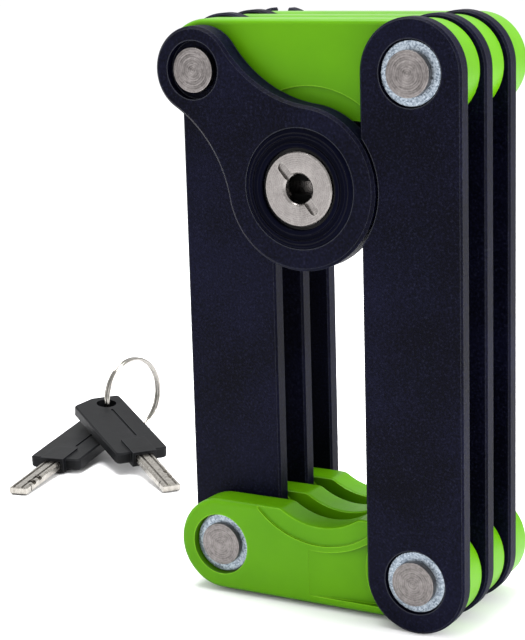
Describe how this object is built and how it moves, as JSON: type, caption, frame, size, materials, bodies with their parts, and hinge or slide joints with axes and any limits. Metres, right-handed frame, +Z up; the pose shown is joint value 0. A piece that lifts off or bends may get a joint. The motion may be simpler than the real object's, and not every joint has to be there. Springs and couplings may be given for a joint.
{
  "type": "folding bike lock",
  "caption": "Folding bike lock: flat steel bars and short covered links riveted into a chain that folds into a flat coil behind a round key lock head.",
  "frame": {"origin": "on the floor under the middle of the folded coil, midway between the left and right pivots and between the front and back bar faces", "axes": "+X towards the right bars, +Y from the lock head's face to the back of the coil, +Z up along the bars"},
  "size_m": [0.1655, 0.1205, 0.1284],
  "materials": {
    "bar_coating": "fine powder coat",
    "head_coating": "fine powder coat",
    "link_cover": "satin moulded",
    "link_core": "rolled",
    "rivet": "nickel plated",
    "washer": "zinc plated",
    "cap_ring": "semi-gloss",
    "seal": "matte",
    "cylinder": "satin nickel",
    "discs": "stamped",
    "small_steel": "turned",
    "key_head": "fine grained",
    "key_blade": "nickel plated",
    "key_ring": "polished",
    "back_plate": "powder coat"
  },
  "bodies": {
    "head": {"lock_housing": "head_coating", "head_rivet": "rivet", "cap_ring": "cap_ring", "plug_seal": "seal", "back_cover": "back_plate", "cover_screws": "small_steel"},
    "plug": {"cylinder_plug": "cylinder", "code_discs": "discs", "disc_spacers": "discs", "side_bar": "small_steel", "tail_cam": "cylinder", "retaining_clip": "small_steel"},
    "top_link_1": {"top_cover_1": "link_cover", "top_core_1": "link_core"},
    "right_bar_body_1": {"right_bar_1": "bar_coating", "right_rivets_1": "rivet", "right_washers_1": "washer"},
    "bottom_link_1": {"bottom_cover_1": "link_cover", "bottom_core_1": "link_core", "bottom_rivet_1": "rivet", "bottom_washer_1": "washer"},
    "left_bar_body_1": {"left_bar_1": "bar_coating", "left_rivet_1": "rivet", "left_washer_1": "washer"},
    "top_link_2": {"top_cover_2": "link_cover", "top_core_2": "link_core"},
    "right_bar_body_2": {"right_bar_2": "bar_coating", "right_rivets_2": "rivet", "right_washers_2": "washer"},
    "bottom_link_2": {"bottom_cover_2": "link_cover", "bottom_core_2": "link_core", "bottom_rivet_2": "rivet", "bottom_washer_2": "washer"},
    "left_bar_body_2": {"left_bar_2": "bar_coating", "left_rivet_2": "rivet", "left_washer_2": "washer"},
    "top_link_3": {"top_cover_3": "link_cover", "top_core_3": "link_core"},
    "right_bar_body_3": {"right_bar_3": "bar_coating", "right_rivets_3": "rivet", "right_washers_3": "washer"},
    "bottom_link_3": {"bottom_cover_3": "link_cover", "bottom_core_3": "link_core", "bottom_rivet_3": "rivet", "bottom_washer_3": "washer"},
    "tail_bar_body": {"tail_bar": "bar_coating"},
    "key_set": {"key_ring": "key_ring"},
    "key_1": {"key_head_1": "key_head", "key_blade_1": "key_blade"},
    "key_2": {"key_head_2": "key_head", "key_blade_2": "key_blade"}
  },
  "joints": [
    {"name": "head_pivot", "type": "hinge", "parent": "head", "child": "top_link_1", "pos_m": [-0.025, -0.0153, 0.1172], "axis": [0, -1, 0], "range_deg": [0, 220]},
    {"name": "upper_right_pivot_1", "type": "hinge", "parent": "top_link_1", "child": "right_bar_body_1", "pos_m": [0.025, -0.0153, 0.1172], "axis": [0, -1, 0], "range_deg": [0, 180]},
    {"name": "lower_right_pivot_1", "type": "hinge", "parent": "right_bar_body_1", "child": "bottom_link_1", "pos_m": [0.025, -0.0153, 0.0112], "axis": [0, -1, 0], "range_deg": [0, 180]},
    {"name": "lower_left_pivot_1", "type": "hinge", "parent": "bottom_link_1", "child": "left_bar_body_1", "pos_m": [-0.025, -0.0031, 0.0112], "axis": [0, -1, 0], "range_deg": [0, 180]},
    {"name": "upper_left_pivot_2", "type": "hinge", "parent": "left_bar_body_1", "child": "top_link_2", "pos_m": [-0.025, -0.0031, 0.1172], "axis": [0, -1, 0], "range_deg": [0, 180]},
    {"name": "upper_right_pivot_2", "type": "hinge", "parent": "top_link_2", "child": "right_bar_body_2", "pos_m": [0.025, -0.0031, 0.1172], "axis": [0, -1, 0], "range_deg": [0, 180]},
    {"name": "lower_right_pivot_2", "type": "hinge", "parent": "right_bar_body_2", "child": "bottom_link_2", "pos_m": [0.025, -0.0031, 0.0112], "axis": [0, -1, 0], "range_deg": [0, 180]},
    {"name": "lower_left_pivot_2", "type": "hinge", "parent": "bottom_link_2", "child": "left_bar_body_2", "pos_m": [-0.025, 0.0091, 0.0112], "axis": [0, -1, 0], "range_deg": [0, 180]},
    {"name": "upper_left_pivot_3", "type": "hinge", "parent": "left_bar_body_2", "child": "top_link_3", "pos_m": [-0.025, 0.0091, 0.1172], "axis": [0, -1, 0], "range_deg": [0, 180]},
    {"name": "upper_right_pivot_3", "type": "hinge", "parent": "top_link_3", "child": "right_bar_body_3", "pos_m": [0.025, 0.0091, 0.1172], "axis": [0, -1, 0], "range_deg": [0, 180]},
    {"name": "lower_right_pivot_3", "type": "hinge", "parent": "right_bar_body_3", "child": "bottom_link_3", "pos_m": [0.025, 0.0091, 0.0112], "axis": [0, -1, 0], "range_deg": [0, 180]},
    {"name": "lower_left_pivot_3", "type": "hinge", "parent": "bottom_link_3", "child": "tail_bar_body", "pos_m": [-0.025, 0.0213, 0.0112], "axis": [0, -1, 0], "range_deg": [0, 180]},
    {"name": "plug_turn", "type": "hinge", "parent": "head", "child": "plug", "pos_m": [0, -0.0181, 0.0932], "axis": [0, 1, 0], "range_deg": [0, 90]},
    {"name": "key_set_lift", "type": "slide", "parent": "head", "child": "key_set", "axis": [0, 0, 1], "range_m": [0, 0.1]},
    {"name": "key_1_swing", "type": "hinge", "parent": "key_set", "child": "key_1", "pos_m": [-0.12, 0.07898, 0.0047], "axis": [0.0107, -0.0607, 0.9981], "range_deg": [-25, 0]},
    {"name": "key_2_swing", "type": "hinge", "parent": "key_set", "child": "key_2", "pos_m": [-0.12039, 0.07677, 0.01], "axis": [0.1253, -0.0911, 0.9879], "range_deg": [0, 25]}
  ]
}
